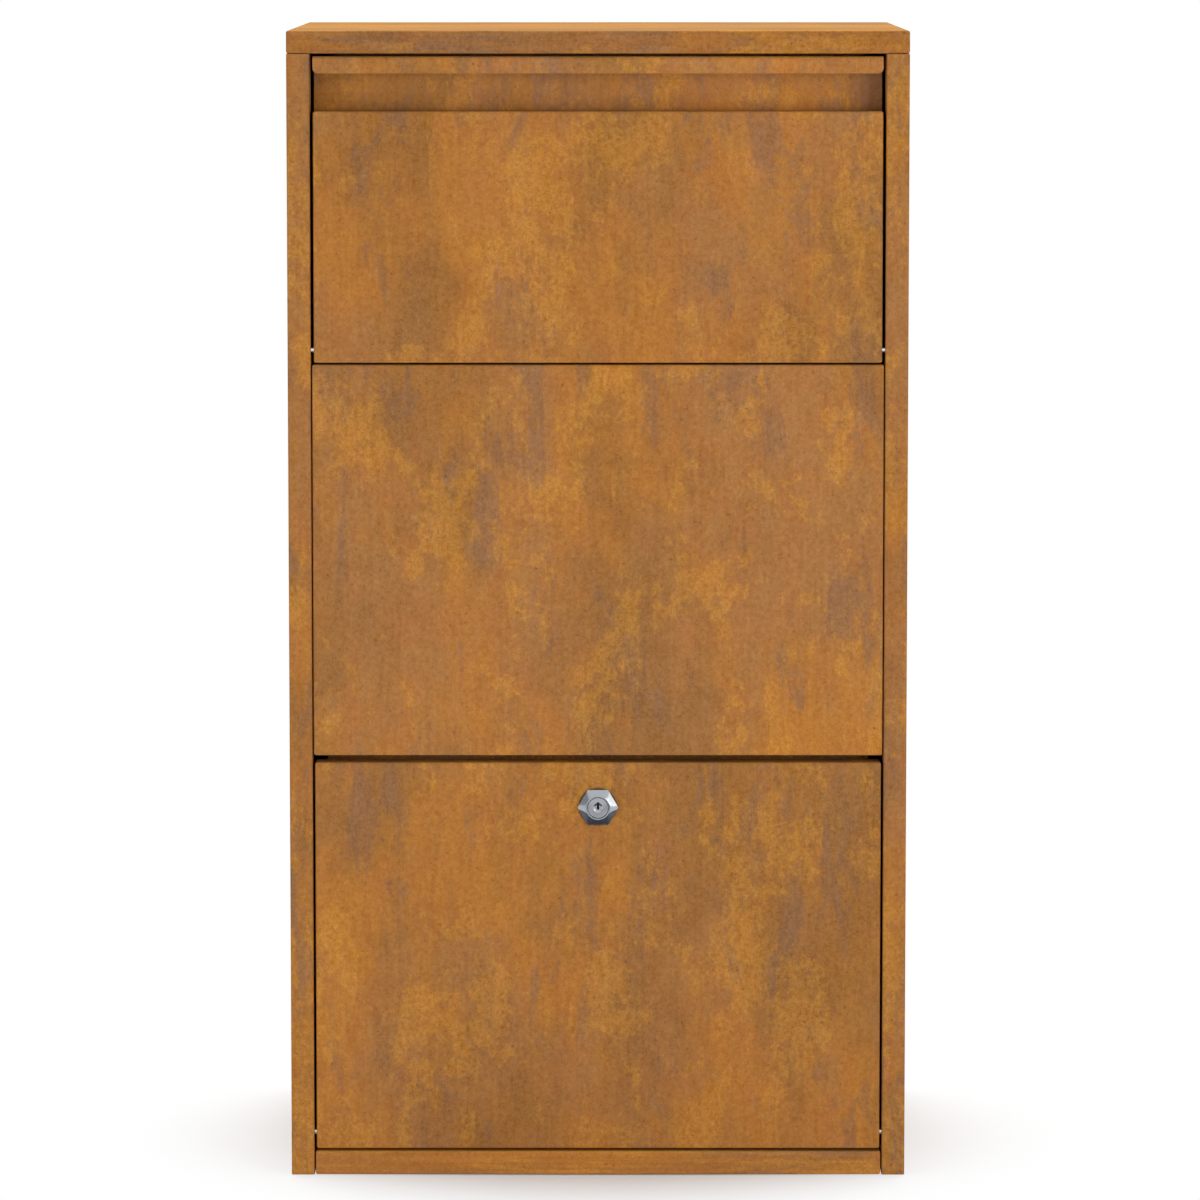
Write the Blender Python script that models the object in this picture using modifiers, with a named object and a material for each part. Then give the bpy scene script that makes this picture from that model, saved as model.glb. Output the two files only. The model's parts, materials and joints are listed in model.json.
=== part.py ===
"""Parcel letterbox of rusted sheet steel: a tall cabinet with a tip-out hopper flap and a locked door.

Metres, +Z up. The origin is the middle of the base, where the cabinet stands, and the front faces -Y.
Every sheet is modelled as its open outer surface, folded by a Bevel and thickened inwards by a Solidify.
"""

import math

import bmesh
import bpy
from mathutils import Matrix, Vector

# Cabinet
WIDTH = 0.430
DEPTH = 0.340
HEIGHT = 0.800
SHEET = 0.0010
FOLD_RADIUS = 0.0014
FOLD_STEPS = 3
SEAT = 0.0003
POST_WIDTH = 0.016
POST_RETURN = 0.020
CAP_HEIGHT = 0.0157
CAP_FLANGE = 0.012
RAIL_HEIGHT = 0.0167
RAIL_DEPTH = 0.0205
RAIL_SIDE_GAP = 0.0009
RAIL_LIP = 0.005
BASE_ANGLE_LEAF = 0.010

# Front panels, from the base rail upwards
PANEL_DEPTH = 0.020
DOOR_BOTTOM_GAP = 0.0019
DOOR_HEIGHT = 0.2731
DOOR_SIDE_GAP = 0.0017
DOOR_LIP = 0.020
DOOR_TOP_GAP = 0.0050
MIDDLE_SIDE_GAP = 0.0009
MIDDLE_LIP = 0.012
FLAP_BOTTOM_GAP = 0.0014
FLAP_HEIGHT = 0.2115
FLAP_SIDE_GAP = 0.0022
CAP_GAP = 0.0020

# Pull channel along the top of the flap
PULL_DEPTH = 0.024
PULL_OPENING = 0.0262
PULL_LIP = 0.0116
PULL_LIP_CORNER = 0.0035

# Hinges
PIN_RADIUS = 0.00175
PIN_HEAD_RADIUS = 0.0028
PIN_HEAD_HEIGHT = 0.0016
PIN_TAIL = 0.0022
PIN_SETBACK = 0.0045
FLAP_PIN_RISE = 0.0086
DOOR_PIN_RISE = 0.0112
CLIP_RADIUS = 0.0030
CLIP_THICKNESS = 0.0008

# Hopper behind the flap
HOPPER_OPEN_ANGLE = math.radians(50)
HOPPER_HEADROOM = 0.005
FLOOR_SLOPE = math.radians(40)
FLOOR_LENGTH = 0.270
FLOOR_SIDE = 0.015
FLOOR_NOSE = 0.010
FLOOR_LEAF = 0.0195
CHEEK_TAIL_HEIGHT = 0.025
STOP_TAB_INNER = 0.150
STOP_TAB_LENGTH = 0.028
STOP_TAB_BITE = 0.0045
STOP_TAB_EDGE = 0.0005

# Fixed plates inside
STOP_RAIL_DROP = 0.034
STOP_RAIL_LEAF = 0.015
STOP_RAIL_END_GAP = 0.011
BAFFLE_LEAF = 0.025
BAFFLE_REACH = 0.041
BAFFLE_DROP = 0.044
BAFFLE_LIP = 0.010
BAFFLE_RISE = 0.0664
STRIKE_THICKNESS = 0.0020
STRIKE_REACH = 0.0167
STRIKE_END_GAP = 0.009

# Lock
LOCK_DROP = 0.0313
BEZEL_FLATS = 0.0246
BEZEL_ROUND = 0.0274
BEZEL_FRONT = 0.0170
BEZEL_SKIRT = 0.0018
BEZEL_HEIGHT = 0.0046
BARREL_RADIUS = 0.0094
PLUG_FACE_RADIUS = 0.0073
PLUG_FACE_DEPTH = 0.0026
PLUG_FACE_SINK = 0.0003
PLUG_RADIUS = 0.0060
PLUG_DISH_RADIUS = 0.0034
PLUG_DISH_DEPTH = 0.0010
KEYWAY_WIDTH = 0.0017
KEYWAY_HEIGHT = 0.0052
KEYWAY_RAISE = 0.0014
KEYWAY_DEPTH = 0.0120
TAIL_SQUARE = 0.0070
NUT_FLATS = 0.0240
NUT_THICKNESS = 0.0040
CAM_CLEARANCE = 0.0005
CAM_THICKNESS = 0.0020
CAM_LENGTH = 0.0300
CAM_WIDTH = 0.0120
CAM_EYE_RADIUS = 0.0080
WASHER_THICKNESS = 0.0010
WASHER_RADIUS = 0.0048
CAM_SCREW_RADIUS = 0.0020
CAM_SCREW_HEAD_RADIUS = 0.0042
CAM_SCREW_HEAD_HEIGHT = 0.0026
CAM_SCREW_LENGTH = 0.0080

# Rivets and fixing holes
RIVET_RADIUS = 0.0016
RIVET_HEAD_RADIUS = 0.0032
RIVET_HEAD_HEIGHT = 0.0010
RIVET_TAIL_RADIUS = 0.0023
RIVET_TAIL_HEIGHT = 0.0014
MIDDLE_RIVET_COUNT = 3
STRIKE_RIVET_COUNT = 3
FLAP_RIVET_COUNT = 2
FLOOR_RIVET_COUNT = 3
RAIL_RIVET_COUNT = 3
RIVET_END_MARGIN = 0.034
FIXING_HOLE_RADIUS = 0.0045
FIXING_INSET_X = 0.065
FIXING_INSET_Y = 0.050
FIXING_INSET_Z = 0.100

# Places worked out from the sizes above
FRONT = -DEPTH / 2
BACK = DEPTH / 2
OPENING_HALF = WIDTH / 2 - POST_WIDTH
INNER_HALF = WIDTH / 2 - SHEET - SEAT
CAP_BOTTOM = HEIGHT - CAP_HEIGHT
FLAP_TOP = CAP_BOTTOM - CAP_GAP
FLAP_BOTTOM = FLAP_TOP - FLAP_HEIGHT
LEDGE_TOP = FLAP_TOP - PULL_LIP - PULL_OPENING
MIDDLE_TOP = FLAP_BOTTOM - FLAP_BOTTOM_GAP
DOOR_BOTTOM = RAIL_HEIGHT + DOOR_BOTTOM_GAP
DOOR_TOP = DOOR_BOTTOM + DOOR_HEIGHT
MIDDLE_BOTTOM = DOOR_TOP + DOOR_TOP_GAP
RAIL_HALF = OPENING_HALF - RAIL_SIDE_GAP
DOOR_HALF = OPENING_HALF - DOOR_SIDE_GAP
MIDDLE_HALF = OPENING_HALF - MIDDLE_SIDE_GAP
FLAP_HALF = OPENING_HALF - FLAP_SIDE_GAP
CHEEK_OUTER = FLAP_HALF - SHEET - SEAT
FLOOR_HALF = CHEEK_OUTER - SHEET - SEAT
PIN_Y = FRONT + PIN_SETBACK
FLAP_PIN_Z = FLAP_BOTTOM + FLAP_PIN_RISE
DOOR_PIN_Z = DOOR_BOTTOM + DOOR_PIN_RISE
LOCK_Z = DOOR_TOP - LOCK_DROP
BACK_PANEL_FRONT = BACK - SHEET
BASE_FRONT = FRONT + RAIL_DEPTH + SEAT
STRIKE_FRONT = FRONT + PANEL_DEPTH + SEAT
CAM_FRONT = STRIKE_FRONT + STRIKE_THICKNESS + CAM_CLEARANCE
HOLE_RADIUS = PIN_RADIUS + SEAT
RIVET_HOLE_RADIUS = RIVET_RADIUS + SEAT
CUT_OVERSHOOT = 0.002

SIDES = {"left": -1, "right": 1}
FACE_DIRECTIONS = {
    "-x": Vector((-1, 0, 0)),
    "+x": Vector((1, 0, 0)),
    "-y": Vector((0, -1, 0)),
    "+y": Vector((0, 1, 0)),
    "-z": Vector((0, 0, -1)),
    "+z": Vector((0, 0, 1)),
}
# Turns a flat outline so that its X runs along world Y and its Y runs up
OUTLINE_IN_SIDE_PLANE = (math.pi / 2, 0, math.pi / 2)
# Turns a flat outline so that its X stays and its Y runs up, seen from the front
OUTLINE_IN_FRONT_PLANE = (math.pi / 2, 0, 0)


# Scene and materials
def clear_scene():
    for obj in list(bpy.data.objects):
        bpy.data.objects.remove(obj, do_unlink=True)


def new_collection(name):
    collection = bpy.data.collections.new(name)
    bpy.context.scene.collection.children.link(collection)
    return collection


def new_material(name, colour, roughness, metallic):
    material = bpy.data.materials.new(name)
    material.use_nodes = True
    shader = material.node_tree.nodes["Principled BSDF"]
    shader.inputs["Base Color"].default_value = (*colour, 1)
    shader.inputs["Roughness"].default_value = roughness
    shader.inputs["Metallic"].default_value = metallic
    return material


clear_scene()
PARTS = new_collection("parcel_letterbox")
CUTTERS = new_collection("cutters")
RUST = new_material("rusted_sheet", (0.42, 0.18, 0.055), 0.80, 0.0)
INNER_RUST = new_material("rusted_inner_sheet", (0.30, 0.13, 0.045), 0.85, 0.0)
ZINC = new_material("bright_pin_steel", (0.80, 0.78, 0.75), 0.25, 1.0)
RIVET_STEEL = new_material("rusted_rivet", (0.26, 0.12, 0.05), 0.75, 0.3)
CHROME = new_material("lock_chrome", (0.70, 0.71, 0.73), 0.18, 1.0)
PLUG_NICKEL = new_material("plug_nickel", (0.52, 0.53, 0.55), 0.35, 1.0)
CAM_STEEL = new_material("cam_steel", (0.55, 0.54, 0.50), 0.40, 1.0)


def new_pivot(name, at):
    """An empty on a joint's axis, which carries the pieces that turn about it."""
    pivot = bpy.data.objects.new(name, None)
    pivot.location = at
    pivot.empty_display_size = 0.03
    PARTS.objects.link(pivot)
    return pivot


HOPPER_PIVOT = new_pivot("hopper_pivot", (0, PIN_Y, FLAP_PIN_Z))
DOOR_PIVOT = new_pivot("door_pivot", (0, PIN_Y, DOOR_PIN_Z))
LOCK_PIVOT = new_pivot("lock_pivot", (0, FRONT, LOCK_Z))
bpy.context.view_layer.update()
LOCK_PIVOT.parent = DOOR_PIVOT
LOCK_PIVOT.matrix_parent_inverse = DOOR_PIVOT.matrix_world.inverted()


def carry(obj, pivot):
    """Parents obj to the pivot and leaves it where it is."""
    bpy.context.view_layer.update()
    obj.parent = pivot
    obj.matrix_parent_inverse = pivot.matrix_world.inverted()


def add_part(name, mesh, material, pivot=None):
    obj = bpy.data.objects.new(name, mesh)
    mesh.materials.append(material)
    PARTS.objects.link(obj)
    if pivot:
        carry(obj, pivot)
    return obj


def add_cutter(name, surface):
    mesh = bpy.data.meshes.new(name)
    surface.to_mesh(mesh)
    surface.free()
    cutter = bpy.data.objects.new(name, mesh)
    cutter.hide_render = True
    cutter.display_type = "WIRE"
    CUTTERS.objects.link(cutter)
    return cutter


def combine(obj, other, operation):
    step = obj.modifiers.new(f"{operation.lower()}_{other.name}", "BOOLEAN")
    step.operation = operation
    step.object = other


# Folded sheets
def box_surface(low, high, leave_out=""):
    """The faces of a box as an open surface, without those named in leave_out, such as "+y -z"."""
    surface = bmesh.new()
    low, high = Vector(low), Vector(high)
    place = Matrix.Translation((low + high) / 2) @ Matrix.Diagonal((*(high - low), 1))
    bmesh.ops.create_cube(surface, size=1, matrix=place)
    gone = [face_towards(surface, side) for side in leave_out.split()]
    bmesh.ops.delete(surface, geom=gone, context="FACES")
    return surface


def face_towards(surface, side):
    surface.normal_update()
    return next(f for f in surface.faces if f.normal.dot(FACE_DIRECTIONS[side]) > 0.99)


def turn_in_lip(surface, side, width):
    """Replaces the face on that side by a lip of the given width round its edge."""
    face = face_towards(surface, side)
    bmesh.ops.inset_region(surface, faces=[face], thickness=width, use_even_offset=True)
    bmesh.ops.delete(surface, geom=[face], context="FACES")


def fold_on(surface, points_to, by):
    """Extrudes the free edge whose two ends satisfy points_to, and returns the new edge's two vertices."""
    edge = next(e for e in surface.edges if e.is_boundary and all(points_to(v.co) for v in e.verts))
    made = bmesh.ops.extrude_edge_only(surface, edges=[edge])["geom"]
    corners = [item for item in made if isinstance(item, bmesh.types.BMVert)]
    bmesh.ops.translate(surface, verts=corners, vec=by)
    return corners


def near(value, target):
    return abs(value - target) < 1e-6


def folded_sheet(name, surface, material, pivot=None):
    """A sheet-metal piece from its open outer surface: one fold radius, one thickness."""
    mesh = bpy.data.meshes.new(name)
    surface.to_mesh(mesh)
    surface.free()
    obj = add_part(name, mesh, material, pivot)
    fold = obj.modifiers.new("fold", "BEVEL")
    fold.width = FOLD_RADIUS
    fold.segments = FOLD_STEPS
    fold.limit_method = "ANGLE"
    fold.angle_limit = math.radians(25)
    thickness = obj.modifiers.new("sheet", "SOLIDIFY")
    thickness.thickness = SHEET
    thickness.offset = -1
    thickness.use_even_offset = True
    return obj


def folded_strip(name, profile, half_length, material):
    """A strip folded along X. Seen from +X, the sheet lies to the right of the profile's (y, z) points."""
    surface = bmesh.new()
    line = [surface.verts.new((-half_length, y, z)) for y, z in profile]
    edges = [surface.edges.new(pair) for pair in zip(line, line[1:])]
    made = bmesh.ops.extrude_edge_only(surface, edges=edges)["geom"]
    far_side = [item for item in made if isinstance(item, bmesh.types.BMVert)]
    bmesh.ops.translate(surface, verts=far_side, vec=(2 * half_length, 0, 0))
    return folded_sheet(name, surface, material)


def drill(obj, holes, depth=SHEET + CUT_OVERSHOOT, segments=16):
    """Cuts round holes through obj with one cutter: holes has (centre, direction, radius) for each.

    Each is spun by a quarter of a step, so that no corners of a row of holes lie on one line.
    """
    surface = bmesh.new()
    spin = Matrix.Rotation(math.pi / 2 / segments, 4, "Z")
    for at, direction, radius in holes:
        turn = Vector(direction).to_track_quat("Z", "Y").to_matrix().to_4x4()
        bmesh.ops.create_cone(
            surface,
            cap_ends=True,
            segments=segments,
            radius1=radius,
            radius2=radius,
            depth=depth,
            matrix=Matrix.Translation(at) @ turn @ spin,
        )
    combine(obj, add_cutter(f"{obj.name}_holes", surface), "DIFFERENCE")


# Turned pieces and flat plates
def turned(name, profile, at, direction, material, pivot=None, steps=20, closed=False):
    """A turned piece: profile has (radius, height) points from its top down, and its top faces direction."""
    surface = bmesh.new()
    line = [surface.verts.new((radius, 0, height)) for radius, height in profile]
    pairs = list(zip(line, line[1:]))
    if closed:
        pairs.append((line[-1], line[0]))
    for pair in pairs:
        surface.edges.new(pair)
    mesh = bpy.data.meshes.new(name)
    surface.to_mesh(mesh)
    surface.free()
    obj = add_part(name, mesh, material)
    obj.location = at
    obj.rotation_euler = Vector(direction).to_track_quat("Z", "Y").to_euler()
    if pivot:
        carry(obj, pivot)
    lathe = obj.modifiers.new("lathe", "SCREW")
    lathe.axis = "Z"
    lathe.steps = steps
    lathe.render_steps = steps
    lathe.use_smooth_shade = True
    lathe.use_merge_vertices = True
    lathe.merge_threshold = 0.00001
    return obj


def flat_plate(name, outline, thickness, at, rotation, material, pivot=None, hole=None):
    """A plate cut to an outline: the curve and its optional hole are filled, then made a mesh."""
    curve = bpy.data.curves.new(name, "CURVE")
    curve.dimensions = "2D"
    curve.fill_mode = "BOTH"
    curve.extrude = thickness / 2
    for points in filter(None, (outline, hole)):
        spline = curve.splines.new("POLY")
        spline.points.add(len(points) - 1)
        for point, (x, y) in zip(spline.points, points):
            point.co = (x, y, 0, 1)
        spline.use_cyclic_u = True
    drawn = bpy.data.objects.new(f"{name}_outline", curve)
    drawn.location = at
    drawn.rotation_euler = rotation
    PARTS.objects.link(drawn)
    bpy.context.view_layer.update()
    graph = bpy.context.evaluated_depsgraph_get()
    mesh = bpy.data.meshes.new_from_object(drawn.evaluated_get(graph))
    welded = bmesh.new()
    welded.from_mesh(mesh)
    bmesh.ops.remove_doubles(welded, verts=welded.verts, dist=0.00001)
    bmesh.ops.recalc_face_normals(welded, faces=welded.faces)
    welded.to_mesh(mesh)
    welded.free()
    mesh.materials.clear()
    obj = add_part(name, mesh, material)
    obj.matrix_world = drawn.matrix_world
    bpy.data.objects.remove(drawn)
    if pivot:
        carry(obj, pivot)
    return obj


def arc(radius, start, end, steps, centre=(0, 0)):
    """Points on a circle from one angle to another, counted from +X towards +Y."""
    angles = [start + (end - start) * i / steps for i in range(steps + 1)]
    return [(centre[0] + radius * math.cos(a), centre[1] + radius * math.sin(a)) for a in angles]


def spread(low, high, count):
    """Evenly spaced places from low to high."""
    return [low + (high - low) * i / (count - 1) for i in range(count)]


# Cabinet shell
def side_panel(side_name, side):
    """Outer wall with the front post folded round to a return."""
    outer, inner = side * WIDTH / 2, side * OPENING_HALF
    low = (min(outer, inner), FRONT, 0)
    high = (max(outer, inner), BACK, CAP_BOTTOM - SEAT)
    open_side = "+x" if side < 0 else "-x"
    surface = box_surface(low, high, f"{open_side} +y -z +z")
    fold_on(surface, lambda p: near(p.x, inner) and near(p.y, FRONT), (0, POST_RETURN, 0))
    panel = folded_sheet(f"{side_name}_side_panel", surface, RUST)
    x = side * (OPENING_HALF + SHEET / 2)
    holes = [((x, PIN_Y, z), (1, 0, 0), HOLE_RADIUS) for z in (FLAP_PIN_Z, DOOR_PIN_Z)]
    holes += [((x, middle_rivet_y(), z), (1, 0, 0), RIVET_HOLE_RADIUS) for z in middle_rivet_heights()]
    drill(panel, holes)
    return panel


def back_panel():
    """Flat sheet between the walls, flush with their rear edges, with four holes for wall screws."""
    low = (-INNER_HALF, BACK_PANEL_FRONT, SEAT)
    high = (INNER_HALF, BACK_PANEL_FRONT + SHEET, CAP_BOTTOM - SEAT)
    surface = box_surface(low, high, "-x +x -y -z +z")
    panel = folded_sheet("back_panel", surface, RUST)
    x = WIDTH / 2 - FIXING_INSET_X
    y = BACK_PANEL_FRONT + SHEET / 2
    corners = [(side * x, y, z) for side in (-1, 1) for z in (FIXING_INSET_Z, HEIGHT - FIXING_INSET_Z)]
    drill(panel, [(at, (0, 1, 0), FIXING_HOLE_RADIUS) for at in corners])
    return panel


def top_cap():
    """Tray with a skirt all round and a flange turned in under it, which sits on the walls."""
    surface = box_surface((-WIDTH / 2, FRONT, CAP_BOTTOM), (WIDTH / 2, BACK, HEIGHT))
    turn_in_lip(surface, "-z", CAP_FLANGE)
    return folded_sheet("top_cap", surface, RUST)


def rail_rivet_places():
    reach = RAIL_HALF - RIVET_END_MARGIN
    return [(x, RAIL_HEIGHT / 2) for x in spread(-reach, reach, RAIL_RIVET_COUNT)]


def base_rail():
    """Channel between the posts under the door, open below but for a narrow lip."""
    surface = box_surface((-RAIL_HALF, FRONT, 0), (RAIL_HALF, FRONT + RAIL_DEPTH, RAIL_HEIGHT))
    turn_in_lip(surface, "-z", RAIL_LIP)
    rail = folded_sheet("base_rail", surface, RUST)
    y = FRONT + RAIL_DEPTH - SHEET / 2
    drill(rail, [((x, y, z), (0, 1, 0), RIVET_HOLE_RADIUS) for x, z in rail_rivet_places()])
    return rail


def base_plate():
    """Flat floor between the walls, behind the rail, with four holes to bolt the box down."""
    low = (-INNER_HALF, BASE_FRONT, 0)
    high = (INNER_HALF, BACK_PANEL_FRONT - SEAT, SHEET)
    plate = folded_sheet("base_plate", box_surface(low, high, "-x +x -y +y +z"), RUST)
    x = WIDTH / 2 - FIXING_INSET_X
    y = DEPTH / 2 - FIXING_INSET_Y
    corners = [(i * x, j * y, SHEET / 2) for i in (-1, 1) for j in (-1, 1)]
    drill(plate, [(at, (0, 0, 1), FIXING_HOLE_RADIUS) for at in corners])
    return plate


def base_angle():
    """Angle welded along the front of the floor, to which the rail is riveted."""
    foot = SHEET + SEAT
    profile = [(BASE_FRONT + BASE_ANGLE_LEAF, foot), (BASE_FRONT, foot), (BASE_FRONT, RAIL_HEIGHT)]
    angle = folded_strip("base_angle", profile, INNER_HALF, INNER_RUST)
    y = BASE_FRONT + SHEET / 2
    drill(angle, [((x, y, z), (0, 1, 0), RIVET_HOLE_RADIUS) for x, z in rail_rivet_places()])
    return angle


# Fixed front panel and the bar that the lock catches
def middle_rivet_heights():
    return spread(MIDDLE_BOTTOM + RIVET_END_MARGIN, MIDDLE_TOP - RIVET_END_MARGIN, MIDDLE_RIVET_COUNT)


def middle_rivet_y():
    return FRONT + PANEL_DEPTH / 2


def strike_rivet_places():
    reach = MIDDLE_HALF - STRIKE_END_GAP - RIVET_END_MARGIN
    return [(x, MIDDLE_BOTTOM + MIDDLE_LIP / 2) for x in spread(-reach, reach, STRIKE_RIVET_COUNT)]


def middle_panel():
    low = (-MIDDLE_HALF, FRONT, MIDDLE_BOTTOM)
    high = (MIDDLE_HALF, FRONT + PANEL_DEPTH, MIDDLE_TOP)
    surface = box_surface(low, high)
    turn_in_lip(surface, "+y", MIDDLE_LIP)
    panel = folded_sheet("middle_panel", surface, RUST)
    x = MIDDLE_HALF - SHEET / 2
    sides = [(side * x, middle_rivet_y(), z) for side in (-1, 1) for z in middle_rivet_heights()]
    holes = [(at, (1, 0, 0), RIVET_HOLE_RADIUS) for at in sides]
    lip = FRONT + PANEL_DEPTH - SHEET / 2
    holes += [((x, lip, z), (0, 1, 0), RIVET_HOLE_RADIUS) for x, z in strike_rivet_places()]
    drill(panel, holes)
    return panel


def strike_bar():
    """Flat bar behind the panel's lower lip: the door closes on it and the cam catches it."""
    low = (-(MIDDLE_HALF - STRIKE_END_GAP), STRIKE_FRONT, DOOR_TOP - STRIKE_REACH)
    high = (MIDDLE_HALF - STRIKE_END_GAP, STRIKE_FRONT + STRIKE_THICKNESS, MIDDLE_BOTTOM + MIDDLE_LIP)
    surface = box_surface(low, high)
    mesh = bpy.data.meshes.new("strike_bar")
    surface.to_mesh(mesh)
    surface.free()
    bar = add_part("strike_bar", mesh, INNER_RUST)
    soften = bar.modifiers.new("soften", "BEVEL")
    soften.width = STRIKE_THICKNESS / 5
    soften.segments = 2
    y = STRIKE_FRONT + STRIKE_THICKNESS / 2
    holes = [((x, y, z), (0, 1, 0), RIVET_HOLE_RADIUS) for x, z in strike_rivet_places()]
    drill(bar, holes, STRIKE_THICKNESS + CUT_OVERSHOOT)
    return bar


def stop_rail():
    """Angle under the cap: the closed flap's channel rests against its web."""
    web = FRONT + PULL_DEPTH + SHEET + SEAT
    top = HEIGHT - SHEET - SEAT
    profile = [(web, top - STOP_RAIL_DROP), (web, top), (web + STOP_RAIL_LEAF, top)]
    half = CHEEK_OUTER - SHEET - STOP_RAIL_END_GAP
    return folded_strip("flap_stop_rail", profile, half, INNER_RUST)


def baffle():
    """Sloping plate on the back wall: it closes the way past the hopper's floor when the flap is open."""
    leaf_y = BACK_PANEL_FRONT - SEAT
    lip_y = BACK_PANEL_FRONT - BAFFLE_REACH
    lip_z = FLAP_PIN_Z + BAFFLE_RISE
    profile = [
        (leaf_y, lip_z + BAFFLE_DROP + BAFFLE_LEAF),
        (leaf_y, lip_z + BAFFLE_DROP),
        (lip_y, lip_z),
        (lip_y, lip_z - BAFFLE_LIP),
    ]
    return folded_strip("anti_theft_baffle", profile, INNER_HALF, INNER_RUST)


# Hopper
def flap_rivet_places():
    low = FLAP_PIN_Z + RIVET_END_MARGIN
    high = LEDGE_TOP - RIVET_END_MARGIN
    return [(FRONT + PULL_DEPTH / 2, z) for z in spread(low, high, FLAP_RIVET_COUNT)]


def floor_start():
    """Where the floor's underside bends down, as (y, z) from the hinge pin."""
    return (PULL_DEPTH - PIN_SETBACK + FOLD_RADIUS + 2 * SEAT, SHEET + SEAT - FLAP_PIN_RISE)


def on_floor(along, above):
    """A place by the sloping floor, as (y, z) from the pin: so far down the slope and above its underside."""
    y, z = floor_start()
    along_y, along_z = math.cos(FLOOR_SLOPE), -math.sin(FLOOR_SLOPE)
    up_y, up_z = math.sin(FLOOR_SLOPE), math.cos(FLOOR_SLOPE)
    return (y + along * along_y + above * up_y, z + along * along_z + above * up_z)


def floor_rivet_places():
    places = spread(RIVET_END_MARGIN, FLOOR_LENGTH - RIVET_END_MARGIN, FLOOR_RIVET_COUNT)
    centred = [on_floor(along, (SHEET + FLOOR_SIDE) / 2) for along in places]
    return [(PIN_Y + y, FLAP_PIN_Z + z) for y, z in centred]


def hopper_flap():
    """Front panel with side flanges, its top folded back and forward again into a pull channel with a lip."""
    channel_back = FRONT + PULL_DEPTH
    surface = box_surface((-FLAP_HALF, FRONT, FLAP_BOTTOM), (FLAP_HALF, channel_back, LEDGE_TOP), "+y")
    channel_top = FLAP_TOP - SHEET
    fold_on(
        surface,
        lambda p: near(p.y, channel_back) and near(p.z, LEDGE_TOP),
        (0, 0, channel_top - LEDGE_TOP),
    )
    fold_on(surface, lambda p: near(p.z, channel_top), (0, SHEET - PULL_DEPTH, 0))
    lip_y = FRONT + SHEET
    lip = fold_on(
        surface,
        lambda p: near(p.z, channel_top) and near(p.y, lip_y),
        (0, 0, SHEET - PULL_LIP),
    )
    bmesh.ops.bevel(
        surface,
        geom=lip,
        offset=PULL_LIP_CORNER,
        segments=4,
        profile=0.5,
        affect="VERTICES",
    )
    flap = folded_sheet("hopper_flap", surface, RUST, HOPPER_PIVOT)
    holes = []
    for side in (-1, 1):
        x = side * (FLAP_HALF - SHEET / 2)
        holes.append(((x, PIN_Y, FLAP_PIN_Z), (1, 0, 0), HOLE_RADIUS))
        holes += [((x, y, z), (1, 0, 0), RIVET_HOLE_RADIUS) for y, z in flap_rivet_places()]
    drill(flap, holes)
    return flap


def cheek_outline():
    """Outline of a cheek, as (y, z) from the hinge pin: a quadrant that closes the side of the open flap."""
    front = SHEET + 2 * SEAT - PIN_SETBACK
    foot = 2 * SHEET + 2 * SEAT + FOLD_RADIUS - FLAP_PIN_RISE
    ledge = LEDGE_TOP - FLAP_PIN_Z - SHEET - 2 * SEAT
    behind_channel = PULL_DEPTH - PIN_SETBACK + SHEET + SEAT
    radius = CAP_BOTTOM - FLAP_PIN_Z - HOPPER_HEADROOM
    tab_back = POST_RETURN - PIN_SETBACK + SEAT + SHEET + STOP_TAB_EDGE
    rim_start = math.acos(behind_channel / radius)
    rim_end = math.acos(tab_back / radius) - HOPPER_OPEN_ANGLE
    outline = [(front, foot), (front, ledge), (behind_channel, ledge)]
    outline += arc(radius, rim_start, rim_end, 12)
    outline.append(swung_shut(tab_back, STOP_TAB_INNER - STOP_TAB_LENGTH / 4))
    outline.append(on_floor(FLOOR_LENGTH, CHEEK_TAIL_HEIGHT))
    outline.append(on_floor(FLOOR_LENGTH, SHEET + SEAT))
    outline.append(on_floor(FOLD_RADIUS, SHEET + FOLD_RADIUS))
    outline.append((floor_start()[0] - FOLD_RADIUS, foot))
    return outline


def swung_shut(y, z):
    """Turns a place given with the flap fully open back to where it is with the flap shut."""
    c, s = math.cos(HOPPER_OPEN_ANGLE), math.sin(HOPPER_OPEN_ANGLE)
    return (y * c + z * s, z * c - y * s)


def hopper_cheek(side_name, side):
    """Side plate of the hopper, with a tab bent outwards that meets the post when the flap is fully open."""
    at = (side * (CHEEK_OUTER - SHEET / 2), PIN_Y, FLAP_PIN_Z)
    name = f"hopper_cheek_{side_name}"
    cheek = flat_plate(name, cheek_outline(), SHEET, at, OUTLINE_IN_SIDE_PLANE, INNER_RUST, HOPPER_PIVOT)
    tab_y = POST_RETURN - PIN_SETBACK + SEAT + SHEET / 2
    tab_z = STOP_TAB_INNER + STOP_TAB_LENGTH / 2
    y, z = swung_shut(tab_y, tab_z)
    inner_x = CHEEK_OUTER - SHEET / 2
    outer_x = OPENING_HALF + STOP_TAB_BITE
    surface = bmesh.new()
    size = Matrix.Diagonal((outer_x - inner_x, SHEET, STOP_TAB_LENGTH, 1))
    middle = Vector((side * (inner_x + outer_x) / 2, PIN_Y + y, FLAP_PIN_Z + z))
    place = Matrix.Translation(middle) @ Matrix.Rotation(-HOPPER_OPEN_ANGLE, 4, "X") @ size
    bmesh.ops.create_cube(surface, size=1, matrix=place)
    combine(cheek, add_cutter(f"{name}_tab", surface), "UNION")
    rivets = flap_rivet_places() + floor_rivet_places()
    holes = [((at[0], y, z), (1, 0, 0), RIVET_HOLE_RADIUS) for y, z in rivets]
    drill(cheek, [(at, (1, 0, 0), HOLE_RADIUS)] + holes)
    return cheek


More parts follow.
